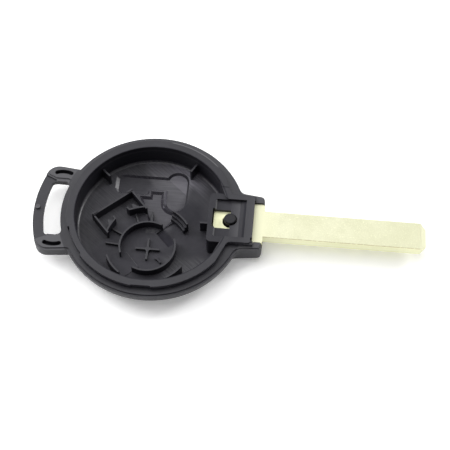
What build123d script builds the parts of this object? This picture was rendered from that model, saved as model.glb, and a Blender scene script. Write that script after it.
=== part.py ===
"""Open rear half of a round car-key remote, with its uncut blade and the pin that locks it.

Millimetres. +X runs along the blade, +Y to the far side and +Z to the open side.
The origin is the centre of the round head, on the flat patch of its underside.
"""
from build123d import *
import math
import os

# Heights
shell_height = 8.0
floor_level = 1.5
tongue_height = 1.45
tongue_root = 2.05
bar_drop = 0.65
block_drop = 0.5
pocket_depth = 0.7
blade_depth = 2.0
neck_wall = 1.8
loop_thickness = 3.9
side_land = 0.45

# Round head
head_radius = 22.95
head_shift = 0.15
flange_width = 1.9
tongue_width = 1.95
side_curve_run = 6.15
ledge_width = 0.5
ledge_drop = 0.3
floor_fillet = 0.8

# Neck that holds the blade
neck_reach = 4.5
neck_root_inset = 7.95
neck_root_half = 8.95
neck_end_half = 7.5
neck_end_bow = 0.25
nose_overhang = 0.45
nose_base_inset = 0.25
nose_rise = 3.0
neck_blend = 2.0
neck_corner = 1.3
neck_base_chamfer = 0.7

# Tongue and cavity where they leave the circle and run round the neck
tongue_leave_inset = 4.15
tongue_flare_run = 2.4
tongue_end_inset = 2.25
tongue_side_inset = 0.7
tongue_corner = 1.2
tongue_bend = 1.5
tongue_end_width = 2.0
tongue_side_width = 1.5
tongue_neck_drop = 0.12
cavity_leave_inset = 3.1
cavity_flare_run = 2.1
cavity_corner = 0.3

# Notch and long recess on the outside of the tongue
notch_length = 4.6
notch_depth = 0.35
notch_centre_x = -0.35
recess_arc = (197.1, 220.3)
recess_depth = 0.4

# Key-ring loop
slot_inset = 0.2
slot_width = 4.3
slot_half_length = 7.7
slot_corner = 1.0
slot_land = 1.0
slot_flare = 30.0
bar_width = 2.55
arm_width = 4.5
arm_taper = 0.7
arm_wide_inset = 2.47
arm_root_inset = 4.95
loop_corner = 3.2
loop_blend = 0.5
loop_edge_chamfer = 0.9
bar_step_inset = 1.85
bar_step_spread = 3.0
bar_step_setback = 0.5
slot_rim_drop = 0.25
slot_rim_margin = 0.9
slot_rim_reach = 1.4
slot_rim_low_end = 6.2
slot_rim_turn = 0.15
arm_pocket_inset = 0.8
arm_pocket_offset = 2.65
arm_pocket_length = 3.6
arm_pocket_width = 1.1
arm_pocket_depth = 1.6
arm_pocket_bow = 0.35
pip_inset = 1.6
pip_y = -0.1
pip_radius = 0.62
pip_height = 0.45
pip_sides = 12

# Coin cell seat, with each guide's start, end and gap and each spoke's angle and width
cell_x = -0.46
cell_y = -7.47
cell_radius = 10.0
cell_clearance = 0.3
thin_wall = 0.45
ring_inset = 2.9
ring_height = 2.4
guide_height = 3.3
guides = [(202.0, 235.0, 0.05), (302.0, 329.0, 0.3)]
spoke_height = 0.8
spoke_reach = 0.35
spokes = [(89.5, 0.55), (113.0, 0.4), (152.0, 0.4), (175.0, 0.4)]

# Contact strip that crosses the cell seat, and the clip with each step's depth and height
strip_angle = 43.0
strip_width = 5.0
strip_start = 4.5
strip_depth = 0.3
strip_end_depth = 0.6
strip_rise = 0.1
clip_gap = 1.05
clip_arc = (34.0, 61.0)
clip_height = 3.5
clip_steps = [(0.5, 2.2), (1.0, 1.2)]

# Cross in the middle of the ring and the small mark beside it
cross_length = 6.0
cross_width = 0.5
cross_height = 0.8
cross_blend = 0.6
mark_x = 2.46
mark_y = -2.28
mark_radius = 0.46
mark_tail = 1.7
mark_tail_angle = -47.0
mark_height = 0.6

# Transponder box, its fingers drawn from the open end of a side wall
box_x = -10.58
box_y = 3.96
box_angle = 42.0
box_half_length = 5.85
box_depth = 6.6
box_height = 2.8
box_post_length = 1.1
box_post_rise = 0.2
box_post_offset = 0.12
box_corner_gap = 0.6
finger_path = [(0.0, 0.6), (1.45, 1.45), (2.75, 2.0), (3.65, 2.3)]
finger_hook = (3.75, 3.25)
finger_tooth = [(2.75, 2.0), (2.35, 3.15), (1.9, 3.05), (1.25, 1.5)]

# Sunk areas of the floor
sunk_depth = 0.6
sunk_slope = 38.0
sunk_bar_left = -10.6
sunk_bar_bottom = 8.55
sunk_bar_width = 5.7
sunk_lobe_x = 4.95
sunk_lobe_width = 5.8
sunk_lobe_bottom = 4.3
sunk_lobe_length = 11.65
sunk_step_left = -2.0
sunk_step_length = 4.1
sunk_step_width = 1.6
sunk_corner = 0.7
sunk_low_corner = 1.4
sunk_ramp_run = 0.8
ridge_width = 0.35
panel_slope = 45.0
panel_left = -4.4
panel_low_angles = (91.0, 62.0)
panel_foot = 2.7
panel_foot_shift = 0.25

# Board rests
rest_length = 2.7
rest_width = 0.5
rest_height = 3.8
rest_angles = [60.0, 137.5]
rest_bite = 0.5
block_rest_y = -0.5
block_rest_length = 2.0

# Blade block
block_length = 13.45
block_end_inset = 2.0
block_wall = 1.6
block_corner = 1.1
pocket_inset = 1.5
pocket_half_width = 5.35
pocket_corner = 0.6
pocket_slope = 0.35
pocket_step = 0.12
ramp_length = 1.5
ramp_rise = 0.45
window_inset = 1.0
window_half_width = 2.6

# Blade
blade_thickness = 2.7
blade_half_width = 3.62
blade_length = 40.15
shoulder_gap = 0.3
shoulder_height = 1.93
tip_length = 1.4
tip_corner = 1.3
tip_bevel = 0.45
tip_land = 0.9
tang_inset = 1.3
tang_corner = 0.5
tang_relief = 0.4

# Pin
pin_inset = 5.45
pin_radius = 1.5
pin_chamfer = 0.2
pin_seat_depth = 1.2

# Clearances
slide_clearance = 0.1
tang_end_clearance = 0.3
tang_hole_clearance = 0.4
pin_clearance = 0.05
pin_window_clearance = 0.2
cut_margin = 2.0

# Levels worked out from the sizes above
flange_level = shell_height - tongue_height
tongue_root_level = flange_level - tongue_root
ledge_level = flange_level - ledge_drop
side_curve_height = ledge_level - side_land
loop_base_level = flange_level - loop_thickness
bar_level = flange_level - bar_drop
slot_rim_level = flange_level - slot_rim_drop
slot_flare_level = bar_level - slot_land
block_level = shell_height - block_drop
pocket_level = block_level - pocket_depth
blade_top_level = shell_height - blade_depth
blade_bottom_level = blade_top_level - blade_thickness
tang_slot_floor = blade_bottom_level - slide_clearance
neck_base_level = tang_slot_floor - neck_wall
tang_slot_roof = blade_top_level + slide_clearance
above_all = shell_height + cut_margin

# Radii worked out from the sizes above
tongue_radius = head_radius - flange_width
cavity_radius = tongue_radius - tongue_width
base_flat_radius = head_radius - side_curve_run
slot_inner_radius = head_radius - slot_inset
slot_outer_radius = slot_inner_radius + slot_width
loop_radius = slot_outer_radius + bar_width
loop_half_width = slot_half_length + arm_width
ring_radius = cell_radius - ring_inset
ring_centre_radius = ring_radius - thin_wall / 2
guide_radius = cell_radius + cell_clearance
clip_radius = cell_radius + clip_gap

# Places along the blade worked out from the sizes above
neck_root_x = head_radius - neck_root_inset
neck_top_end = head_radius + neck_reach
neck_nose_end = neck_top_end + nose_overhang
neck_base_end = neck_top_end - nose_base_inset
tongue_end = neck_top_end - tongue_end_inset
tongue_neck_half = neck_end_half - tongue_side_inset
cavity_end = tongue_end - tongue_end_width
block_left = neck_top_end - block_length
block_half_width = pocket_half_width + block_wall
pin_x = block_left + pin_inset
tang_left = block_left + tang_inset
tang_half_width = blade_half_width + shoulder_height
tang_slot_half = tang_half_width + slide_clearance
blade_start = neck_top_end + shoulder_gap
blade_end = blade_start + blade_length


def polar(radius, angle, x=0.0, y=0.0):
    """Point at a radius and an angle in degrees from a centre."""
    turn = math.radians(angle)
    return (x + radius * math.cos(turn), y + radius * math.sin(turn))


def on_circle(edge, radius):
    """True for an edge whose middle is at this radius from the head's centre."""
    middle = edge @ 0.5
    return abs(math.hypot(middle.X, middle.Y) - radius) < 0.01


def rectangle(left, right, low, high):
    """Rectangle between its four sides."""
    centre = Pos((left + right) / 2, (low + high) / 2)
    return centre * Rectangle(right - left, high - low)


def sector(inner, outer, from_angle, to_angle, x=0.0, y=0.0):
    """Flat ring sector about a centre."""
    middle = (from_angle + to_angle) / 2
    edges = Curve()
    edges += ThreePointArc(*[polar(outer, a, x, y) for a in (from_angle, middle, to_angle)])
    edges += ThreePointArc(*[polar(inner, a, x, y) for a in (from_angle, middle, to_angle)])
    edges += Line(polar(inner, from_angle, x, y), polar(outer, from_angle, x, y))
    edges += Line(polar(inner, to_angle, x, y), polar(outer, to_angle, x, y))
    return make_face(edges)


def head_and_neck(radius, leave_x, flare_x, neck_half, end_x, corner):
    """Outline of a circle that leaves its round at leave_x and runs straight into the neck."""
    leave_y = math.sqrt(radius**2 - leave_x**2)
    start = (leave_x, leave_y)
    finish = (leave_x, -leave_y)
    neck_points = [finish, (flare_x, -neck_half), (end_x, -neck_half)]
    neck_points += [(end_x, neck_half), (flare_x, neck_half), start]
    edges = Curve() + ThreePointArc(start, (-radius, 0), finish) + Polyline(*neck_points)
    outline = make_face(edges)
    bends = [v for v in outline.vertices() if abs(v.X - flare_x) < 0.01]
    outline = fillet(bends, tongue_bend)
    corners = [v for v in outline.vertices() if abs(v.X - end_x) < 0.01]
    return fillet(corners, corner)


def blend_inner_corners(outline, radius):
    """Round the inner corners of an outline and leave its outer ones."""
    return offset(offset(outline, radius, kind=Kind.ARC), -radius, kind=Kind.ARC)


def between(outline, low, high):
    """Solid of an outline between two levels."""
    return extrude(Pos(0, 0, low) * outline, high - low)


def raised(outline, height, root=0.0):
    """Wall or pad of this height above the floor, rooted some way into it."""
    return between(outline, floor_level - root, floor_level + height)


# Outer form of the shell

def loop_outline():
    """Outer edge of the key-ring loop, as far in as the wall of the head."""
    outer_x = -loop_radius - cut_margin
    wide_x = arm_wide_inset - math.sqrt(loop_radius**2 - loop_half_width**2)
    root_x = arm_root_inset - head_radius
    root_half = loop_half_width - arm_taper
    arms = make_face(Polyline(
        (outer_x, -loop_half_width),
        (wide_x, -loop_half_width),
        (root_x, -root_half),
        (root_x, root_half),
        (wide_x, loop_half_width),
        (outer_x, loop_half_width),
        close=True,
    ))
    outline = Circle(loop_radius) & arms
    corners = [v for v in outline.vertices() if v.X < wide_x - 0.1]
    return fillet(corners, loop_corner) - Circle(tongue_radius)


def slot_outline():
    """Through slot of the loop, between the head and the bar."""
    outline = Circle(slot_outer_radius) - Circle(slot_inner_radius)
    outline &= rectangle(-loop_radius, 0, -slot_half_length, slot_half_length)
    return fillet(outline.vertices(), slot_corner)


def slot_space():
    """Through slot with its underside flared towards the bar and the arms."""
    start = Pos(0, 0, slot_flare_level)
    flare = extrude(start * slot_outline(), -slot_flare_level, taper=-slot_flare)
    flare -= between(Circle(slot_inner_radius), -cut_margin, above_all)
    return between(slot_outline(), -cut_margin, above_all) + flare


def neck_outline(end):
    """Neck from above, slightly narrower towards its bowed end."""
    shoulder = end - neck_end_bow
    sides = Polyline(
        (shoulder, neck_end_half),
        (neck_root_x, neck_root_half),
        (0, neck_root_half),
        (0, -neck_root_half),
        (neck_root_x, -neck_root_half),
        (shoulder, -neck_end_half),
    )
    bow = ThreePointArc((shoulder, -neck_end_half), (end, 0), (shoulder, neck_end_half))
    outline = make_face(Curve() + sides + bow)
    corners = [v for v in outline.vertices() if abs(v.X - shoulder) < 0.01]
    return fillet(corners, neck_corner)


def top_outline(neck_end):
    """Outline of the whole shell at its parting face, with its neck up to this end."""
    head = Pos(head_shift, 0) * Circle(head_radius)
    outline = blend_inner_corners(head + neck_outline(neck_end), neck_blend)
    return blend_inner_corners(outline + loop_outline(), loop_blend)


def flange_outline():
    """Outline inside the ledge, which follows the sides and runs out at the neck's end."""
    inside = offset(top_outline(neck_top_end + cut_margin), -ledge_width, kind=Kind.ARC)
    return inside & top_outline(neck_top_end)


def dished_head():
    """Round head with its flat patch and the curve up to the side."""
    side = Line((head_radius, side_curve_height), (head_radius, ledge_level))
    curve = EllipticalCenterArc(
        (base_flat_radius, side_curve_height),
        side_curve_run,
        side_curve_height,
        start_angle=270,
        arc_size=90,
    )
    rest = Polyline((head_radius, ledge_level), (0, ledge_level), (0, 0), (base_flat_radius, 0))
    profile = make_face(Curve() + side + curve + rest)
    return Pos(head_shift, 0) * revolve(Plane.XZ * profile, Axis.Z)


def neck_body():
    """Neck with its rounded nose and the chamfer round its underside."""
    nose = ThreePointArc(
        (neck_base_end, neck_base_level),
        (neck_nose_end, neck_base_level + nose_rise),
        (neck_top_end, ledge_level),
    )
    rest = Polyline(
        (neck_top_end, ledge_level),
        (0, ledge_level),
        (0, neck_base_level),
        (neck_base_end, neck_base_level),
    )
    side = extrude(Plane.XZ * make_face(Curve() + nose + rest), 2 * neck_root_half, both=True)
    body = between(neck_outline(neck_nose_end), neck_base_level, ledge_level)
    low_edges = [
        e for e in body.edges()
        if abs(e.center().Z - neck_base_level) < 0.01 and e.center().X > 1
    ]
    return chamfer(low_edges, neck_base_chamfer) & side


def loop_body():
    """Plate of the key-ring loop, chamfered along its lower outside edge."""
    body = between(loop_outline(), loop_base_level, ledge_level)
    low_edges = [
        e for e in body.edges()
        if abs(e.center().Z - loop_base_level) < 0.01 and not on_circle(e, tongue_radius)
    ]
    return chamfer(low_edges, loop_edge_chamfer)


def outer_form():
    """Head, neck and loop up to the flange, with the fine ledge along the parting edge."""
    form = dished_head() + neck_body()
    junctions = [
        e for e in form.edges()
        if abs(e.center().Y) > neck_end_half and e.bounding_box().size.Z > 1
        and neck_root_x < e.center().X < head_radius
    ]
    form = fillet(junctions, neck_blend) + loop_body()
    form += between(flange_outline(), tongue_root_level, flange_level)
    return form - slot_space()


# Rim and cavity

def cavity():
    """Space inside the shell, with a rounded edge round its floor as far as the neck."""
    leave_x = cavity_radius - cavity_leave_inset
    outline = head_and_neck(
        cavity_radius, leave_x, leave_x + cavity_flare_run,
        tongue_neck_half - tongue_side_width, cavity_end, cavity_corner,
    )
    neck_run = rectangle(leave_x, cavity_end, -cavity_radius, cavity_radius)
    basin = between(Circle(cavity_radius), floor_level, above_all)
    basin = fillet(basin.edges().sort_by(Axis.Z)[0], floor_fillet)
    basin &= between(outline, floor_level, above_all)
    return basin + between(outline & neck_run, floor_level, above_all)


def tongue():
    """Raised tongue that the front half closes over."""
    leave_x = tongue_radius - tongue_leave_inset
    outline = head_and_neck(
        tongue_radius, leave_x, leave_x + tongue_flare_run,
        tongue_neck_half, tongue_end, tongue_corner,
    )
    half = notch_length / 2
    notch = Polyline(
        (-half - notch_depth, -cut_margin),
        (-half - notch_depth, 0),
        (-half, notch_depth),
        (half, notch_depth),
        (half + notch_depth, 0),
        (half + notch_depth, -cut_margin),
        close=True,
    )
    outline -= Pos(notch_centre_x, -tongue_radius) * make_face(notch)
    outline -= sector(tongue_radius - recess_depth, tongue_radius + cut_margin, *recess_arc)
    return between(outline, tongue_root_level, shell_height)


def neck_drop():
    """Space over the tongue of the neck, which is slightly lower than the rest."""
    half = tongue_neck_half + tongue_width
    over_neck = rectangle(cavity_radius / 2, neck_nose_end, -half, half)
    return between(over_neck, shell_height - tongue_neck_drop, above_all)


# Blade block

def blade_block():
    """Block that closes the tang in."""
    end = neck_top_end - block_end_inset
    outline = rectangle(block_left, end, -block_half_width, block_half_width)
    corners = [v for v in outline.vertices() if abs(v.X - block_left) < 0.01]
    return between(fillet(corners, block_corner), floor_level, block_level)


def pocket():
    """Shallow pocket on top of the block, with a sloped left wall and a ramp on the right."""
    left = block_left + pocket_inset + pocket_slope
    wall_run = pocket_slope * (above_all - pocket_level) / pocket_depth
    step_level = pocket_level + pocket_step
    side = make_face(Polyline(
        (left, pocket_level),
        (pin_x, pocket_level),
        (pin_x, step_level),
        (cavity_end - ramp_length, step_level),
        (cavity_end, step_level + ramp_rise),
        (cavity_end, above_all),
        (left - wall_run, above_all),
        close=True,
    ))
    space = extrude(Plane.XZ * side, pocket_half_width, both=True)
    left_corners = [
        e for e in space.edges()
        if e.bounding_box().size.Z > 1 and e.center().X < pin_x and abs(e.center().Y) > 1
    ]
    return fillet(left_corners, pocket_corner)


def tang_window():
    """Window in the floor of the pocket, with the round end that clears the pin."""
    left = block_left + window_inset
    outline = rectangle(left, pin_x, -window_half_width, window_half_width)
    outline += Pos(pin_x, 0) * Circle(pin_radius + pin_window_clearance)
    return between(outline, tang_slot_floor, above_all)


def tang_slot():
    """Slot that the tang slides into from the end of the neck."""
    left = tang_left - tang_end_clearance
    right = neck_nose_end + cut_margin
    closed = rectangle(left, right, -tang_slot_half, tang_slot_half)
    opened = rectangle(tongue_end, right, -tang_slot_half, tang_slot_half)
    opened += Pos(tongue_end, -tang_slot_half) * Rectangle(2 * tang_relief, 2 * tang_relief)
    slot = between(closed, tang_slot_floor, tang_slot_roof)
    return slot + between(opened, tang_slot_floor, above_all)


# Features of the floor

def lobe_outline(margin):
    """Upright round-ended lobe, grown by a margin."""
    lobe = Pos(sunk_lobe_x, sunk_lobe_bottom + sunk_lobe_length / 2) * Rot(0, 0, 90)
    return lobe * SlotOverall(sunk_lobe_length + 2 * margin, sunk_lobe_width + 2 * margin)


def sunk_outline():
    """Seven-shaped sunk area: a bar that ends in an upright lobe."""
    bar_top = sunk_bar_bottom + sunk_bar_width
    step_right = sunk_step_left + sunk_step_length
    step_top = sunk_bar_bottom + sunk_step_width
    outline = rectangle(sunk_bar_left, sunk_lobe_x, sunk_bar_bottom, bar_top)
    outline -= rectangle(sunk_step_left, step_right, sunk_bar_bottom, step_top)
    low_left = outline.vertices().sort_by(Axis.X)[:2].sort_by(Axis.Y)[0]
    outline = fillet(low_left, sunk_low_corner)
    corners = [
        v for v in outline.vertices()
        if v.X < step_right - 0.1 and (v.Y > bar_top - 0.01 or v.X > sunk_step_left - 0.01)
    ]
    return fillet(corners, sunk_corner) + lobe_outline(0)


def panel_outline():
    """Sunk panel below the bar, between the transponder box and the lobe."""
    low_left = polar(ring_centre_radius, panel_low_angles[0], cell_x, cell_y)
    low_right = polar(ring_centre_radius, panel_low_angles[1], cell_x, cell_y)
    step_x = sunk_step_left + ridge_width
    top = sunk_bar_bottom - ridge_width
    panel = make_face(Polyline(
        (panel_left, top),
        (step_x, top),
        (step_x, top + sunk_step_width),
        (sunk_lobe_x, top + sunk_step_width),
        (sunk_lobe_x, sunk_lobe_bottom + ridge_width),
        (sunk_lobe_x + panel_foot_shift, sunk_lobe_bottom - panel_foot),
        low_right,
        low_left,
        close=True,
    ))
    return panel - lobe_outline(ridge_width)


def bar_ramp():
    """Shallow ramp at the left end of the sunk bar."""
    foot = sunk_bar_left + sunk_depth * math.tan(math.radians(sunk_slope))
    side = make_face(Polyline(
        (foot, floor_level - sunk_depth),
        (foot - 2 * sunk_ramp_run, floor_level + sunk_depth),
        (foot, floor_level + sunk_depth),
        close=True,
    ))
    low = sunk_bar_bottom + sunk_low_corner
    high = sunk_bar_bottom + sunk_bar_width - sunk_corner
    return Pos(0, (low + high) / 2) * extrude(Plane.XZ * side, (high - low) / 2, both=True)


def sunk_areas():
    """Everything that is cut into the floor."""
    floor = Pos(0, 0, floor_level)
    cut = extrude(floor * sunk_outline(), -sunk_depth, taper=sunk_slope)
    cut += extrude(floor * panel_outline(), -sunk_depth, taper=panel_slope)
    return cut + bar_ramp() + strip_channel()


def strip_channel():
    """Channel from the clip into the ring, where it slopes down to its end."""
    side = make_face(Polyline(
        (strip_start, floor_level - strip_end_depth),
        (ring_radius, floor_level - strip_depth),
        (guide_radius, floor_level - strip_depth),
        (guide_radius, above_all),
        (strip_start, above_all),
        close=True,
    ))
    channel = extrude(Plane.XZ * side, strip_width / 2, both=True)
    return Pos(cell_x, cell_y) * Rot(0, 0, strip_angle) * channel


def strip_pad():
    """Low pad opposite the channel."""
    outline = rectangle(-guide_radius, -strip_start, -strip_width / 2, strip_width / 2)
    return raised(Pos(cell_x, cell_y) * Rot(0, 0, strip_angle) * outline, strip_rise, strip_depth)


def cell_seat():
    """Ring, guides and spokes that carry the coin cell."""
    centre = Pos(cell_x, cell_y)
    ring = Circle(ring_radius) - Circle(ring_radius - thin_wall)
    ring -= Rot(0, 0, strip_angle) * Rectangle(3 * ring_radius, strip_width)
    seat = raised(centre * ring, ring_height, strip_depth)
    for start, end, gap in guides:
        inner = cell_radius + gap
        guide = sector(inner, inner + thin_wall, start, end, cell_x, cell_y)
        seat += raised(guide, guide_height, sunk_depth)
    for angle, width in spokes:
        spoke = rectangle(ring_centre_radius, guide_radius + spoke_reach, -width / 2, width / 2)
        seat += raised(centre * Rot(0, 0, angle) * spoke, spoke_height, sunk_depth)
    return seat


def contact_clip():
    """Stepped curved wall at the end of the contact strip."""
    wall = sector(clip_radius, clip_radius + thin_wall, *clip_arc, cell_x, cell_y)
    clip = raised(wall, clip_height, strip_depth)
    outer = clip_radius
    for depth, height in clip_steps:
        inner = clip_radius - depth
        clip += raised(sector(inner, outer, *clip_arc, cell_x, cell_y), height, strip_depth)
        outer = inner
    return clip


def cross_and_mark():
    """Raised cross in the middle of the ring and the small round mark beside it."""
    cross = Rectangle(cross_length, cross_width) + Rectangle(cross_width, cross_length)
    cross = blend_inner_corners(cross, cross_blend)
    tail = Rot(0, 0, mark_tail_angle) * Pos(mark_tail / 2, 0) * Rectangle(mark_tail, mark_radius)
    mark = Pos(cell_x + mark_x, cell_y + mark_y) * (Circle(mark_radius) + tail)
    return raised(Pos(cell_x, cell_y) * cross, cross_height) + raised(mark, mark_height)


def finger(side):
    """Sprung finger of the transponder box, on the right (1) or the left (-1)."""
    def place(point):
        return (side * (box_half_length - point[0]), point[1] - box_depth)

    path = [place(p) for p in finger_path]
    outline = trace(Spline(*path), thin_wall)
    outline += trace(Line(path[-1], place(finger_hook)), thin_wall)
    outline += Pos(*path[-1]) * Circle(thin_wall / 2)
    return outline + make_face(Polyline(*[place(p) for p in finger_tooth], close=True))


def transponder_box():
    """Three-sided box with two fingers that hold the transponder against its back wall."""
    place = Pos(box_x, box_y) * Rot(0, 0, box_angle)
    half_wall = thin_wall / 2
    walls = Pos(0, -box_post_offset) * Rectangle(2 * box_half_length + thin_wall, thin_wall)
    posts = Sketch()
    for side in (1, -1):
        wall_x = side * box_half_length
        top = -box_corner_gap if side < 0 else 0
        walls += rectangle(wall_x - half_wall, wall_x + half_wall, -box_depth, top)
        walls += finger(side)
        post_x = side * (box_half_length - box_post_length / 2)
        post = Rectangle(box_post_length + thin_wall, thin_wall)
        posts += Pos(post_x, box_post_offset) * post
    box = raised(place * walls, box_height, sunk_depth)
    return box + raised(place * posts, box_height + box_post_rise, sunk_depth)


def board_rests():
    """Ribs on the wall and on the block that the board lies on."""
    half = rest_width / 2
    rib = rectangle(block_left - block_rest_length, block_left + rest_bite, -half, half)
    rests = raised(Pos(0, block_rest_y) * rib, rest_height)
    for angle in rest_angles:
        rib = rectangle(cavity_radius - rest_length, cavity_radius + rest_bite, -half, half)
        rests += raised(Rot(0, 0, angle) * rib, rest_height)
    return rests


# Features of the loop

def bar_step():
    """Lower level of the bar with its slanted steps, and the shallow rim round the slot."""
    outer_x = -loop_radius - cut_margin
    step_x = bar_step_inset - slot_outer_radius
    turn_x = -slot_inner_radius - slot_rim_turn
    inner_x = slot_rim_reach - slot_inner_radius
    half = slot_half_length + slot_rim_margin
    spread = half + bar_step_spread
    setback = bar_step_setback
    bar = make_face(Polyline(
        (outer_x, setback - spread),
        (step_x, setback - half),
        (step_x, half - setback),
        (outer_x, spread - setback),
        close=True,
    ))
    rim = make_face(Polyline(
        (outer_x, -spread),
        (step_x, -half),
        (turn_x, -half),
        (turn_x, -slot_rim_low_end),
        (inner_x, -slot_rim_low_end),
        (inner_x, half),
        (step_x, half),
        (outer_x, spread),
        close=True,
    ))
    corners = [v for v in rim.vertices() if abs(v.X - inner_x) < 0.01 and v.Y > 0]
    rim = fillet(corners, slot_corner)
    return between(bar, bar_level, above_all) + between(rim, slot_rim_level, above_all)


def arm_pockets():
    """Curved blind pockets in the two arms of the loop."""
    pockets = Part()
    x = -slot_inner_radius - arm_pocket_inset
    half = arm_pocket_length / 2
    low = slot_half_length + arm_pocket_offset - arm_pocket_bow / 2
    high = low + arm_pocket_bow
    for side in (1, -1):
        bow = ThreePointArc((x - half, side * low), (x, side * high), (x + half, side * low))
        outline = SlotArc(bow, arm_pocket_width)
        pockets += between(outline, flange_level - arm_pocket_depth, above_all)
    return pockets


def pip():
    """Small round pip on the bar, rooted in it by its own height."""
    place = Pos(-slot_outer_radius - pip_inset, pip_y)
    outline = place * RegularPolygon(pip_radius, pip_sides)
    return between(outline, bar_level - pip_height, bar_level + pip_height)


# The three pieces

def rear_housing():
    """The whole black moulding."""
    shell = outer_form() + tongue()
    shell -= cavity()
    shell -= sunk_areas()
    shell += strip_pad() + cell_seat() + contact_clip() + cross_and_mark()
    shell += transponder_box() + board_rests()
    shell += blade_block()
    shell -= neck_drop()
    shell -= pocket()
    shell -= tang_slot()
    shell -= tang_window()
    shell -= bar_step()
    shell -= arm_pockets()
    shell += pip()
    pin_hole = Pos(pin_x, 0) * Circle(pin_radius + pin_clearance)
    return shell - between(pin_hole, tang_slot_floor - pin_seat_depth, tang_slot_floor)


def key_blade():
    """Flat blank with its tang, shoulder and bevelled tip."""
    tang = rectangle(tang_left, blade_start, -tang_half_width, tang_half_width)
    tang = fillet(tang.vertices(), tang_corner)
    blank = rectangle(pin_x, blade_end, -blade_half_width, blade_half_width)
    blank = chamfer(blank.vertices().sort_by(Axis.X)[-2:], tip_corner)
    hole = Pos(pin_x, 0) * Circle(pin_radius + tang_hole_clearance)
    plan = between(tang + blank - hole, blade_bottom_level, blade_top_level)
    face_end = blade_end - tip_length
    side = make_face(Polyline(
        (0, blade_bottom_level),
        (face_end, blade_bottom_level),
        (blade_end, blade_bottom_level + tip_land),
        (blade_end, blade_top_level - tip_land),
        (face_end + tip_bevel, blade_top_level - tip_bevel),
        (face_end, blade_top_level),
        (0, blade_top_level),
        close=True,
    ))
    return plan & extrude(Plane.XZ * side, 2 * tang_half_width, both=True)


def locking_pin():
    """Round pin through the hole of the tang, seated in the housing."""
    bottom = tang_slot_floor - pin_seat_depth + pin_clearance
    pin = between(Pos(pin_x, 0) * Circle(pin_radius), bottom, block_level)
    return chamfer(pin.edges().sort_by(Axis.Z)[-1], pin_chamfer)


os.makedirs("parts", exist_ok=True)
pieces = {
    "rear_housing": rear_housing(),
    "key_blade": key_blade(),
    "locking_pin": locking_pin(),
}
for name, piece in pieces.items():
    export_step(piece, f"parts/{name}.step")
    size = piece.bounding_box().size
    print(name, "solids", len(piece.solids()), "volume", round(piece.volume, 1), "size", size)
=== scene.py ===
# %% [markdown]
# # An open key fob shell on a white table
# The part is the rear half of a round remote key: one black moulding, a pale
# blade that is still uncut, and the short pin that locks the blade in the neck.
# The shapes come from the CAD frame. This lesson adds the camera, the light and
# the three finishes.

# %% Load the frame
import math
import bpy
from mathutils import Matrix, Vector


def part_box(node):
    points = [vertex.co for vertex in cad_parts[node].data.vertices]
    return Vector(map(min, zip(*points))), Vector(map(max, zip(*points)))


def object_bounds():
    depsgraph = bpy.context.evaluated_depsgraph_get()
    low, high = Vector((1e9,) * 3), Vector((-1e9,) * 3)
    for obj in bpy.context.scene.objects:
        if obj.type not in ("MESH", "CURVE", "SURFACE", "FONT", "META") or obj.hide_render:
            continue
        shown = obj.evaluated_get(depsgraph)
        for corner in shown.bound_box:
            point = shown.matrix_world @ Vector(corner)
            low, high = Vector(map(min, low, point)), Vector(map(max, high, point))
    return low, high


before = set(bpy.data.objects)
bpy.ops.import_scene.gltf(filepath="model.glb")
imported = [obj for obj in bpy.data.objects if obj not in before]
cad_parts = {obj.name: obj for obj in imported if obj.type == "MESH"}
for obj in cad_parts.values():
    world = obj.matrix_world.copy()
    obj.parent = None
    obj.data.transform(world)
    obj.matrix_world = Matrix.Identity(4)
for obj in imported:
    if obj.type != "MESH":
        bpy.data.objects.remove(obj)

cad_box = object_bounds()
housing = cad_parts["rear_housing"]
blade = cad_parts["key_blade"]
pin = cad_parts["locking_pin"]
mm = 0.001
print("nodes:", sorted(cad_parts), "box:", [list(corner) for corner in cad_box])

# %% [markdown]
# ## The camera
# The photograph looks down on the open shell from the near side, about 60 degrees
# above the table, with the blade running off to the right. A camera can be placed by
# eye, or by a point that it looks at, a height angle, a turn and a distance. The
# second way is used, because each number can then be corrected by itself.

# %% Camera
camera_height_angle = math.radians(59.517)
camera_turn = math.radians(4.716)
camera_roll = math.radians(0.373)
camera_distance = 294.43 * mm
camera_aim = Vector((18.362, -2.325, 8.0)) * mm
lens = 96.0
sensor = 36.0
nearest_seen = 0.01

camera_data = bpy.data.cameras.new("camera")
camera_data.lens = lens
camera_data.sensor_width = sensor
camera_data.clip_start = nearest_seen
camera = bpy.data.objects.new("camera", camera_data)
turn = Matrix.Rotation(camera_turn, 4, "Z")
tilt = Matrix.Rotation(math.pi / 2 - camera_height_angle, 4, "X")
roll = Matrix.Rotation(camera_roll, 4, "Z")
look = turn @ tilt @ roll
back_along_view = look @ Vector((0, 0, camera_distance))
camera.matrix_world = Matrix.Translation(camera_aim + back_along_view) @ look
bpy.context.scene.collection.objects.link(camera)
bpy.context.scene.camera = camera
bpy.context.scene.view_settings.view_transform = "Standard"
print("camera at", [round(v, 4) for v in camera.matrix_world.translation])

# %% [markdown]
# ## Shader maths as plain expressions
# A finish is a little formula: grain times a mask, plus a base colour. In Blender a
# formula is a chain of nodes. It could be wired by hand, but a formula is easier to
# read and to change. The class below wraps one socket, so that `a * b + c` adds the
# Math nodes by itself.

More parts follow.
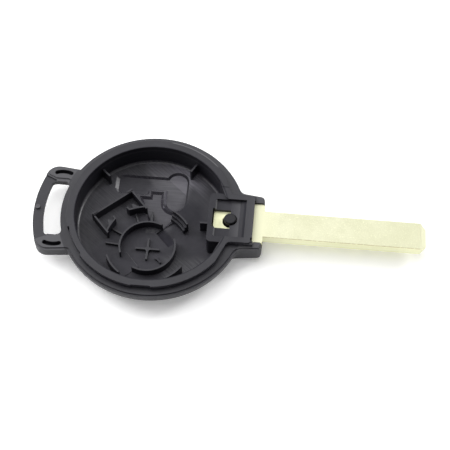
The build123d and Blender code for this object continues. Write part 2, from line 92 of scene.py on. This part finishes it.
# %% A number in a shader
class Value:
    """One number socket of a material, with the operators that the finishes use."""

    def __init__(self, finish, socket):
        self.finish = finish
        self.socket = socket

    def join(self, operation, first, second):
        """A Math node over two numbers."""
        return self.finish.node("ShaderNodeMath", {"operation": operation},
                                {0: first, 1: second})

    def __add__(self, other):
        return self.join("ADD", self, other)

    def __radd__(self, other):
        return self.join("ADD", other, self)

    def __sub__(self, other):
        return self.join("SUBTRACT", self, other)

    def __rsub__(self, other):
        return self.join("SUBTRACT", other, self)

    def __mul__(self, other):
        return self.join("MULTIPLY", self, other)

    def __rmul__(self, other):
        return self.join("MULTIPLY", other, self)


def methods_of(kind):
    """Names of the methods that a class brings."""
    return [name for name, part in vars(kind).items() if callable(part)]


print("a Value brings", methods_of(Value))

# %% [markdown]
# The next class keeps the nodes of one material or of the world. Its method `node` adds
# any node, with its settings first and its sockets second, and lays the nodes out in
# rows, so that they can be read in the shader editor.

# %% A shader and its nodes
class Shader:
    """A material, or the world, with its main shader and one way to add nodes to it."""

    nodes_in_a_row = 9
    step_left, step_down = -260, -190

    def __init__(self, owner, shader="Principled BSDF"):
        self.owner = owner
        owner.use_nodes = True
        self.tree = owner.node_tree
        self.shader = self.tree.nodes[shader]
        self.count = 0

    def put(self, socket, value):
        """Set a socket to a constant or link it."""
        if isinstance(value, Value):
            self.tree.links.new(value.socket, socket)
        else:
            socket.default_value = value

    def node(self, kind, settings, sockets, output=0):
        """Add any node: its settings, then the values or links of its sockets."""
        added = self.tree.nodes.new(kind)
        row, column = divmod(self.count, self.nodes_in_a_row)
        added.location = (self.step_left * (column + 1), self.step_down * row)
        self.count += 1
        stops = settings.pop("stops", [])
        for key, value in settings.items():
            setattr(added, key, value)
        for key, value in sockets.items():
            self.put(added.inputs[key], value)
        for number, (place, shade) in enumerate(stops):
            elements = added.color_ramp.elements
            if number == len(elements):
                elements.new(1.0)
            elements[number].position = place
            elements[number].color = (shade, shade, shade, 1)
        return Value(self, added.outputs[output])

    def set(self, **sockets):
        """Set the main shader's sockets, named with underscores for spaces."""
        for name, value in sockets.items():
            self.put(self.shader.inputs[name.replace("_", " ")], value)

    def dress(self, piece):
        """Give a piece this material."""
        piece.data.materials.clear()
        piece.data.materials.append(self.owner)
        print(self.owner.name, "on", piece.name, "with", len(self.tree.nodes), "nodes")


print("a Shader brings", methods_of(Shader))

# %% [markdown]
# Most of what a finish needs to know is where it is and which way the surface faces. A
# mask could be painted by hand, but a limit on a coordinate stays right on every copy
# of the piece, so the next methods measure and limit.

# %% Measures and limits
class Measured(Shader):
    """A shader that knows places and directions, and turns them into masks."""

    def axis(self, name):
        """One coordinate of the place on the object, in millimetres."""
        place = self.node("ShaderNodeTexCoord", {}, {}, "Object")
        return self.node("ShaderNodeSeparateXYZ", {}, {0: place}, name) * (1 / mm)

    def facing_up(self, least):
        """1 where the surface faces up, 0 where it slopes more than this allows."""
        soft = 0.02
        way = self.node("ShaderNodeTexCoord", {}, {}, "Normal")
        up = self.node("ShaderNodeSeparateXYZ", {}, {0: way}, "Z")
        return self.node("ShaderNodeMapRange", {},
                         {"Value": up, "From Min": least - soft, "From Max": least})

    def ramp(self, value, *stops):
        """Turn a number into another: each stop is a pair of the number and its result."""
        first, last = stops[0][0], stops[-1][0]
        share = self.node("ShaderNodeMapRange", {},
                          {"Value": value, "From Min": first, "From Max": last})
        places = [((number - first) / (last - first), result) for number, result in stops]
        return self.node("ShaderNodeValToRGB", {"stops": places}, {"Fac": share})

    def past(self, value, limit, soft):
        """1 where the value is past this limit, with a soft start."""
        return self.node("ShaderNodeMapRange", {"interpolation_type": "SMOOTHSTEP"},
                         {"Value": value, "From Min": limit - soft, "From Max": limit + soft})

    def between(self, value, low, high, soft):
        """1 where the value lies between two limits, with soft ends."""
        return self.past(value, low, soft) * (1 - self.past(value, high, soft))


print("a Measured shader brings", methods_of(Measured))

# %% [markdown]
# What is left is what can be seen: noise and streaks, colours over each other, and the
# grain. Colours go through Mix nodes, because a Math node would turn them grey.

# %% Patterns, colours and grain
class Finish(Measured):
    """A shader for one real finish."""

    def noise(self, size, detail=3.0, rough=0.55):
        """Soft cloudy noise with features of this size in metres."""
        place = self.node("ShaderNodeTexCoord", {}, {}, "Object")
        return self.node("ShaderNodeTexNoise", {},
                         {"Vector": place, "Scale": 1 / size,
                          "Detail": detail, "Roughness": rough}, "Fac")

    def streaks(self, along, across, width, length):
        """Noise in streaks of this width and length, over two coordinates in one unit."""
        where = self.node("ShaderNodeCombineXYZ", {},
                          {"X": along * (1 / length), "Y": across * (1 / width)})
        return self.node("ShaderNodeTexNoise", {},
                         {"Vector": where, "Scale": 1.0, "Detail": 3.0}, "Fac")

    def mix(self, mask, first, second):
        """Mix two colours by a mask. Sockets 6 and 7 take colours, and output 2 gives one."""
        return self.node("ShaderNodeMix", {"data_type": "RGBA"},
                         {"Factor": mask, 6: first, 7: second}, 2)

    def layered(self, colour, layers):
        """Lay colours over a first one, each through its mask."""
        for mask, shade in layers:
            colour = self.mix(mask, colour, shade)
        return colour

    def bump(self, height, depth, strength, edge_radius):
        """Bump of this depth in metres, over sharp edges that look rounded off."""
        rounded = self.node("ShaderNodeBevel", {"samples": 6}, {"Radius": edge_radius})
        return self.node("ShaderNodeBump", {},
                         {"Height": height, "Distance": depth,
                          "Strength": strength, "Normal": rounded})

    def looked_at(self):
        """1 where the camera, a gloss or a glass looks straight at this surface."""
        seen = 0
        for ray in ("Is Camera Ray", "Is Glossy Ray", "Is Transmission Ray"):
            this = self.node("ShaderNodeLightPath", {}, {}, ray)
            seen = self.node("ShaderNodeMath", {"operation": "MAXIMUM"}, {0: seen, 1: this})
        return seen


print("a Finish brings", methods_of(Finish))

# %% [markdown]
# ## Black moulding
# The shell is injection-moulded from black ABS. Its tool was spark-eroded, so every
# face has a fine matt grain, and the flat floor also keeps faint marks of the cutter
# that finished it. The grain could be a picture, but noise in object space has the
# right size on every face, and needs no unwrapping.

# %% Grain and coordinates of the moulding
grain_size = 0.22 * mm
scuff_size = 1.1 * mm
cloud_size = 6 * mm

plastic = Finish(bpy.data.materials.new("black_plastic"))
grain = plastic.noise(grain_size, detail=4, rough=0.65)
scuff = plastic.noise(scuff_size, detail=5, rough=0.7)
cloud = plastic.noise(cloud_size)
here = {name: plastic.axis(name.upper()) for name in "xyz"}
plan = plastic.node("ShaderNodeCombineXYZ", {}, {"X": here["x"], "Y": here["y"]})
from_middle = plastic.node("ShaderNodeVectorMath", {"operation": "LENGTH"}, {0: plan}, "Value")
print("black plastic starts with", plastic.count, "nodes")

# %% [markdown]
# One moulding still shows many grades of gloss: a face that the tool left smoother, a
# slope, the pocket that the blade rubs in. Each is picked out by a mask, which is 1 on
# that face and 0 elsewhere. A limit on the height is enough for most of them, because
# each kind of face has its own level above the table. The floor is told from its slopes
# by the way that the surface faces.

# %% Masks by level
crisp = 0.05
sunk_top = 1.2
floor_top = 2.2
flange_level = (6.1, 6.7)
tongue_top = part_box("rear_housing")[1][2] / mm
tongue_level = (tongue_top - 0.3, tongue_top + 0.1)
loop_start = 23.2


def zone(soft, **limits):
    """1 inside a box with limits in millimetres along x, y and z, 0 outside it."""
    mask = 1
    for name, (low, high) in limits.items():
        mask = plastic.between(here[name], low, high, soft) * mask
    return mask


flat = plastic.facing_up(0.97)
sunk = 1 - plastic.past(here["z"], sunk_top, 0.1)
low_down = 1 - plastic.past(here["z"], floor_top, 0.1)
on_floor = low_down * flat
on_slope = low_down * (1 - flat) * plastic.facing_up(0.3)
on_flange = zone(0.1, z=flange_level)
on_loop = on_flange * plastic.past(from_middle, loop_start, 0.15)
# painted light: the flange turns paler towards the far side
far_flange_painted_light = on_flange * plastic.ramp(here["y"], (0.0, 0), (16.0, 0.45))
on_tongue = zone(crisp, z=tongue_level)
print("tongue from", [round(level, 2) for level in tongue_level], "mm, flange", flange_level)

# %% [markdown]
# The block that carries the blade has four grades by itself: its top, the pocket floor
# with a painted highlight towards the neck, the little ramp at the pocket's end, and its
# left wall with a painted highlight. On the tongue only the edges differ, and the outer
# edge has a painted highlight. A box can't follow a round rim, so they take the distance
# from the middle of the head.

# %% Masks of the block and of the rim
block_top = zone(crisp, x=(13.0, 23.2), z=(7.2, 7.65))
pocket_floor = zone(crisp, x=(15.9, 21.65), z=(6.7, 7.0))
# painted highlight on the pocket floor towards the neck
pocket_painted_highlight = pocket_floor * plastic.ramp(here["x"], (19.0, 0), (21.7, 1))
pocket_ramp = zone(crisp, x=(21.7, 23.3), z=(6.85, 7.42))
# painted highlight on the pocket's left wall
pocket_wall_painted_highlight = zone(0.03, x=(15.4, 15.9), y=(-5.2, 5.2), z=(6.85, 7.45))
channel_end = zone(crisp, x=(1.0, 6.0), y=(-7.0, -0.5), z=(0.8, 1.17))
neck_rim = on_tongue * plastic.ramp(here["x"], (22.0, 0), (27.0, 1))
rim_edge = on_tongue * plastic.between(from_middle, 19.0, 19.3, 0.04)
# painted highlight along the tongue's outer edge
lit_edge = on_tongue * plastic.between(from_middle, 20.8, 21.1, 0.03)
lit_edge = lit_edge * zone(0.5, x=(3.0, 15.0), y=(4.0, 22.0))
print("masks so far take", plastic.count, "nodes")

# %% [markdown]
# The cutter ran over the floor at 40 degrees to the blade. Its marks are a noise that
# is stretched along that direction, in two coordinates that are turned with it. In the
# sunk areas it ran along the blade and left fainter lines.

# %% Marks of the cutter
cutter_turn = math.radians(40.5)
mark_width = 0.28
mark_length = 7.0
sunk_mark_length = 8.0

across = here["x"] * math.sin(cutter_turn) + here["y"] * math.cos(cutter_turn)
along = here["x"] * math.cos(cutter_turn) - here["y"] * math.sin(cutter_turn)
marks = plastic.streaks(along, across, mark_width, mark_length)
sunk_marks = plastic.streaks(here["x"], here["y"], mark_width, sunk_mark_length)
lines = sunk * (sunk_marks * 0.6 + 0.2) + (1 - sunk) * marks
print("marks", mark_width, "mm wide run at", round(math.degrees(cutter_turn), 1), "degrees")

# %% [markdown]
# One pass left a smoother swath, and beside the far wall there is a shorter pass. Both
# get a painted highlight, a paler colour where light shines off them. Both are soft bands
# in the cutter's two coordinates, and the drift makes their ends lean. The land between
# the sunk areas is duller than the rest, and painted darker as shade.

# %% Pale swath
lean = 0.4
swath_start, swath_end = -5.5, 4.5
far_shift = 5.0
far_pass_start = 14.8

drift = along + across * lean
far = plastic.ramp(across, (8.0, 0), (11.0, 1))
swath = plastic.past(drift + far * far_shift, swath_start, 2.0)
swath = swath * (1 - plastic.past(drift, swath_end, 1.5)) * plastic.past(across, 0.5, 2.5)
# painted shade on the land between the sunk areas, which is also duller
dull_land_painted_shade = on_floor * (1 - sunk) * zone(1.8, x=(-0.5, 12.5), y=(0.8, 7.2))
smooth = on_floor * swath * plastic.ramp(lines, (0.35, 0.45), (0.6, 1)) * (1 - dull_land_painted_shade)
# painted highlight on the floor beside the far wall
painted_far_highlight = plastic.past(across, far_pass_start, 1.0) * plastic.between(drift, -4.0, 8.0, 2.5)
painted_far_highlight = painted_far_highlight * on_floor * (1 - sunk) * plastic.ramp(lines, (0.35, 0.2), (0.6, 0.55))
print("with the swath:", plastic.count, "nodes")

# %% [markdown]
# In the round lobe of the sunk bar the painted highlight starts at a sharp line. The
# lobe's walls are narrow slopes: the left one has a painted highlight and the right one
# painted shade.

# %% Round lobe and its walls
lobe_pass_start = 12.2

in_lobe = sunk * flat * zone(0.1, x=(1.9, 9.0))
# painted highlight on the lobe beyond a sharp line
painted_lobe_highlight = in_lobe * plastic.past(across, lobe_pass_start, crisp)
# painted highlight on the lobe's left wall and painted shade on its right wall
lobe_wall_painted_lit = on_slope * zone(0.08, x=(1.95, 2.5), y=(5.2, 10.6))
lobe_wall_painted_shade = on_slope * zone(0.1, x=(6.6, 8.1), y=(4.4, 16.5))
# pale: the painted highlight of the swath, of the lobe and beside the far wall
pale = smooth * plastic.ramp(across, (8.0, 0.2), (14.0, 0.54)) + painted_lobe_highlight * 0.3 + painted_far_highlight
print("with the lobe:", plastic.count, "nodes")

# %% [markdown]
# Outside the swath the cutter's marks are faint. They show on the left part of the floor
# and at the near right. Beside the swath near the far wall the floor is painted lighter,
# as painted light with the marks in it.

# %% Fainter passes
outer_pass = plastic.ramp(along, (-10.0, 1), (-4.0, 0)) * (1 - sunk * 0.6)
outer_pass = outer_pass + zone(1.5, x=(4.0, 20.0), y=(-20.0, -9.0)) * 1.6
outer_pass = outer_pass * on_floor * plastic.ramp(lines, (0.35, 0.15), (0.6, 0.65))
# painted light on the far floor beside the swath, with the marks in it
far_floor_painted_light = far * plastic.ramp(here["x"], (2.0, 1), (6.0, 0.25))
far_floor_painted_light = far_floor_painted_light * on_floor * plastic.ramp(lines, (0.35, 0.4), (0.6, 1))
print("with the fainter passes:", plastic.count, "nodes")

# %% [markdown]
# Four small marks are left: a straight scratch and a faint blotch inside the cell ring,
# a painted highlight on the ramp at the left end of the sunk bar, and a painted highlight
# along the foot of the left wall. Each is a colour.

# %% Small marks
scratch_lean = 0.154
foot_start, foot_end = 17.0, 19.3

scratch = plastic.between(across + along * scratch_lean, -9.96, -9.86, 0.03)
scratch = scratch * plastic.between(along, 1.2, 6.0, 0.1) * on_floor
blotch = on_floor * zone(0.3, x=(-1.6, 1.4), y=(-2.5, -1.2))
blotch = blotch * plastic.ramp(scuff, (0.4, 0), (0.55, 1))
# painted highlights on the left ramp and along the foot of the left wall
left_ramp_painted_highlight = on_slope * zone(0.2, x=(-12.0, -9.9), y=(8.0, 13.2))
foot = (on_slope + on_floor * 0.2) * plastic.between(from_middle, foot_start, foot_end, 0.4)
foot = foot * plastic.ramp(here["x"], (-12.0, 1), (-2.0, 0))
print("all masks take", plastic.count, "nodes")

# %% [markdown]
# The colour is a near black with a breath of blue. The loop is greyer, and so is the top
# of the neck towards its end. The far flange is painted paler towards the far side and the
# slopes of the sunk areas are painted lighter, both as painted light. One long formula
# could give it all, but colours that are laid over each other like coats of paint, each
# through its own mask, can be changed one by one.

# %% Colour of the moulding
# base near black of the moulding, also laid on as painted shade
black_and_painted_shade = (0.009, 0.0085, 0.0135, 1)
grey_black = (0.015, 0.0145, 0.0205, 1)
floor_black = (0.011, 0.010, 0.0165, 1)
# slopes painted lighter, as painted reflection
slope_painted_light = (0.031, 0.029, 0.037, 1)
# matt grey-black of the loop and the marks, also painted light on the far floor, far flange and
# pocket
matt_and_painted_light_black = (0.052, 0.0515, 0.058, 1)
# colour of the painted highlights
painted_highlight_grey = (0.142, 0.136, 0.160, 1)
# pale grey of the scratch and the blotch, also used for painted highlights
marks_and_painted_highlight_grey = (0.30, 0.30, 0.31, 1)

tone = plastic.ramp(cloud * 0.7 + scuff * 0.3, (0.35, 0), (0.65, 1))
layers = [
    (tone, grey_black),
    (on_floor, floor_black),
    (outer_pass, matt_and_painted_light_black),
    # painted reflection on the slopes
    (on_slope, slope_painted_light),
    (far_floor_painted_light, matt_and_painted_light_black),
    (pale + lobe_wall_painted_lit * 0.9, painted_highlight_grey),
    # painted shade on the lobe's right wall and on the land
    (lobe_wall_painted_shade * 0.8 + dull_land_painted_shade * 0.6, black_and_painted_shade),
    # painted light on the far flange
    (far_flange_painted_light, matt_and_painted_light_black),
    (on_loop, matt_and_painted_light_black),
    # the top of the neck is greyer towards its end; the pocket floor has a painted highlight
    (neck_rim * 0.6 + pocket_painted_highlight * 0.7, matt_and_painted_light_black),
    # painted highlights on the pocket wall and the tongue's edge, and a real scratch
    (pocket_wall_painted_highlight * 0.5 + scratch * 0.15 + lit_edge * 0.25, marks_and_painted_highlight_grey),
    # painted highlights on the ramp and the wall's foot, and a real blotch
    (left_ramp_painted_highlight * 0.5 + foot * 0.16 + blotch * 0.13, marks_and_painted_highlight_grey),
]
colour = plastic.layered(black_and_painted_shade, layers)
print("moulding has", len(layers), "layers over", black_and_painted_shade[:3])

# %% [markdown]
# Under soft light, black plastic is told by its gloss more than by its colour. The
# roughness starts from the scuffs, rises on the dull faces and falls on the swath and on
# the slopes. The grain is a bump, and the cutter's lines are added to it. A real edge is
# never quite sharp, so the bump lies over edges that look rounded.

# %% Gloss and grain of the moulding
edge_radius = 0.08 * mm
grain_depth = 0.02 * mm

dull_faces = [
    (block_top, 0.2),
    (pocket_floor - pocket_painted_highlight, 0.2),
    (pocket_ramp, 0.2),
    (channel_end, 0.25),
    (rim_edge, 0.4),
    (on_floor, 0.16),
    (lobe_wall_painted_shade, 0.4),
    (dull_land_painted_shade, 0.15),
]
dull = sum(mask * amount for mask, amount in dull_faces)
scuffed = plastic.ramp(scuff, (0.3, 0.42), (0.75, 0.52))
plastic.set(
    Base_Color=colour,
    Roughness=scuffed + dull - smooth * 0.26 - on_slope * 0.2,
    Normal=plastic.bump(
        grain * (1 - on_slope * 0.8) + on_floor * lines * 2.0,
        depth=grain_depth, strength=0.5, edge_radius=edge_radius,
    ),
    IOR=1.5,
    Specular_IOR_Level=0.40,
)
plastic.dress(housing)

# %% [markdown]
# ## Pale blade
# The blank is nickel-brass, yellowish white, tumbled to an even matt face with tiny
# bright specks. Its sides are sheared, so they are more of a bare metal. Two materials
# could share the blade, but where the surface stops facing up is read from its own
# direction, so one finish does for both, and the places along it are masks.

# %% Places on the blade
free_length = 40.15
bevel_length = 1.4
window_end = 22.6
blade_tip, _, blade_top = (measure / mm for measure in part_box("key_blade")[1])
shoulder = blade_tip - free_length
bevel_start = blade_tip - bevel_length

metal = Finish(bpy.data.materials.new("blade_metal"))
reach = metal.axis("X")
on_side = 1 - metal.facing_up(0.6)
near_neck = metal.ramp(reach, (shoulder - 0.15, 0.9), (shoulder + 0.75, 0.5), (shoulder + 4.25, 0))
near_tip = metal.ramp(reach, (blade_tip - 15.4, 0), (blade_tip - 5.4, 0.5))
in_window = 1 - metal.past(reach, window_end, 0.4)
bevel = metal.past(reach, bevel_start, crisp)
bevel_line = metal.between(reach, bevel_start - 0.05, bevel_start + 0.5, crisp)
bevel_line = bevel_line * (1 - metal.facing_up(0.97))
print("blade ends at", round(blade_tip, 2), "mm and its face is at", round(blade_top, 2), "mm")

# %% [markdown]
# The face is a cloudy mix of a pale gold and a pale white with bright specks. Painted
# light makes it whiter at the neck and on the bevel, and brighter and yellower on the tang
# that shows in the window.

# %% Colour of the blade's face
pale_gold = (0.565, 0.565, 0.38, 1)
pale_white = (0.665, 0.665, 0.48, 1)
side_and_painted_neck_white = (0.80, 0.80, 0.56, 1)
specks_and_painted_light_white = (0.88, 0.88, 0.63, 1)
# painted light on the tang in the window
tang_painted_light_gold = (0.75, 0.755, 0.49, 1)

speck = metal.noise(0.35 * mm, detail=4, rough=0.75)
stain = metal.noise(4 * mm)
bright_specks = metal.ramp(speck, (0.6, 0), (0.68, 0.7))
face_colour = metal.layered(pale_gold, [
    (metal.ramp(speck * 0.5 + stain * 0.5, (0.38, 0), (0.62, 1)), pale_white),
    (near_tip, pale_gold),
    # painted light: whiter near the neck, brighter in the window, a highlight on the bevel
    (near_neck, side_and_painted_neck_white),
    (in_window, tang_painted_light_gold),
    (bevel * 0.3 + bevel_line * 0.5, specks_and_painted_light_white),
    (bright_specks, specks_and_painted_light_white),
])
print("blade's face takes", metal.count, "nodes")

# %% [markdown]
# The punch that cut the blank out left a brown line near the upper edge of its side. It
# is broken by a noise that changes along the blade only, so the gaps run straight down.

# %% Colour of the blade's side
shear_brown = (0.50, 0.42, 0.24, 1)
gap_length = 1.2

shear_line = metal.between(metal.axis("Z"), blade_top - 0.28, blade_top - 0.02, crisp)
gaps = metal.ramp(metal.streaks(reach, reach, gap_length, gap_length), (0.4, 0.2), (0.5, 1))
side_colour = metal.layered(specks_and_painted_light_white, [
    # painted light: the side is lighter towards the neck
    (metal.ramp(reach, (28.0, 0), (50.0, 1)), side_and_painted_neck_white),
    (shear_line * (1 - bevel) * gaps * 0.85, shear_brown),
])
metal.set(
    Base_Color=metal.mix(on_side, face_colour, side_colour),
    Metallic=on_side * 0.7 + 0.2,
    Roughness=metal.ramp(speck, (0.3, 0.42), (0.7, 0.6)),
    Normal=metal.bump(speck, depth=0.015 * mm, strength=0.5, edge_radius=edge_radius),
)
metal.dress(blade)

# %% [markdown]
# ## Dark pin
# The pin is blackened steel with a turned end. It is darker than the plastic in the
# light and shows a soft glint along its round side.

# %% Blackened steel
deep_black = (0.006, 0.006, 0.008, 1)
steel_black = (0.016, 0.016, 0.019, 1)

dark_steel = Finish(bpy.data.materials.new("pin_metal"))
turned = dark_steel.noise(0.25 * mm)
dark_steel.set(
    Base_Color=dark_steel.mix(dark_steel.ramp(turned, (0.3, 0), (0.7, 1)),
                              deep_black, steel_black),
    Metallic=0.3,
    Specular_IOR_Level=0.3,
    Roughness=dark_steel.ramp(turned, (0.3, 0.34), (0.7, 0.5)),
    Normal=dark_steel.bump(turned, depth=0.01 * mm, strength=0.4, edge_radius=edge_radius),
)
dark_steel.dress(pin)

# %% [markdown]
# ## Table
# The shell lies on a white table that runs to the edge of the picture. A white
# table lit up to plain white would flood the object with light. So the light stays
# gentle, and where the camera sees the table directly it glows a little, which lifts it
# to white and keeps the soft shadow.

# %% White table
table_size = 1.6
table_gap = 0.02 * mm
glow = 0.25

half = table_size / 2
table_sheet = bpy.data.meshes.new("table")
table_sheet.from_pydata([(-half, -half, 0), (half, -half, 0), (half, half, 0), (-half, half, 0)],
                        [], [(0, 1, 2, 3)])
table = bpy.data.objects.new("table", table_sheet)
table.location.z = cad_box[0][2] - table_gap
bpy.context.scene.collection.objects.link(table)

white = Finish(bpy.data.materials.new("white_table"))
white.set(
    Base_Color=(0.95, 0.95, 0.95, 1),
    Roughness=0.9,
    Specular_IOR_Level=0.0,
    Emission_Color=white.mix(white.looked_at(), (0, 0, 0, 1), (1, 1, 1, 1)),
    Emission_Strength=glow,
)
white.dress(table)

# %% [markdown]
# ## Light
# Flat faces are bright and the walls that face the camera are almost black, so most of
# the light comes from above and a little from behind: one large soft lamp. A small lamp
# low on the right draws the slopes that face it, and a third on the left lights the
# table under the loop, which shows through the slot. A ring of lamps would be even, but
# it would show no slopes. The world stays a dim grey, so that the hollows stay deep.

# %% Three soft lamps and the world
lit_point = Vector((0.015, 0, 0.005))
dim_grey = (0.2, 0.2, 0.2, 1)


def soft_lamp(name, place, size, power):
    """Square area lamp that shines at the middle of the object."""
    data = bpy.data.lights.new(name, "AREA")
    data.shape = "SQUARE"
    data.size = size
    data.energy = power
    lamp = bpy.data.objects.new(name, data)
    lamp.location = place
    lamp.rotation_euler = (lit_point - Vector(place)).to_track_quat("-Z", "Y").to_euler()
    bpy.context.scene.collection.objects.link(lamp)
    print(name, "shines", power, "W")


soft_lamp("overhead_lamp", place=(-0.22, 0.21, 0.70), size=1.0, power=7.2)
soft_lamp("right_lamp", place=(0.46, 0.32, 0.37), size=0.19, power=1.8)
soft_lamp("left_lamp", place=(-0.56, 0.24, 0.30), size=0.30, power=3.0)

bpy.context.scene.world = bpy.data.worlds.new("studio")
studio = Shader(bpy.context.scene.world, "Background")
studio.set(Color=dim_grey, Strength=1.0)

# %% [markdown]
# ## The end
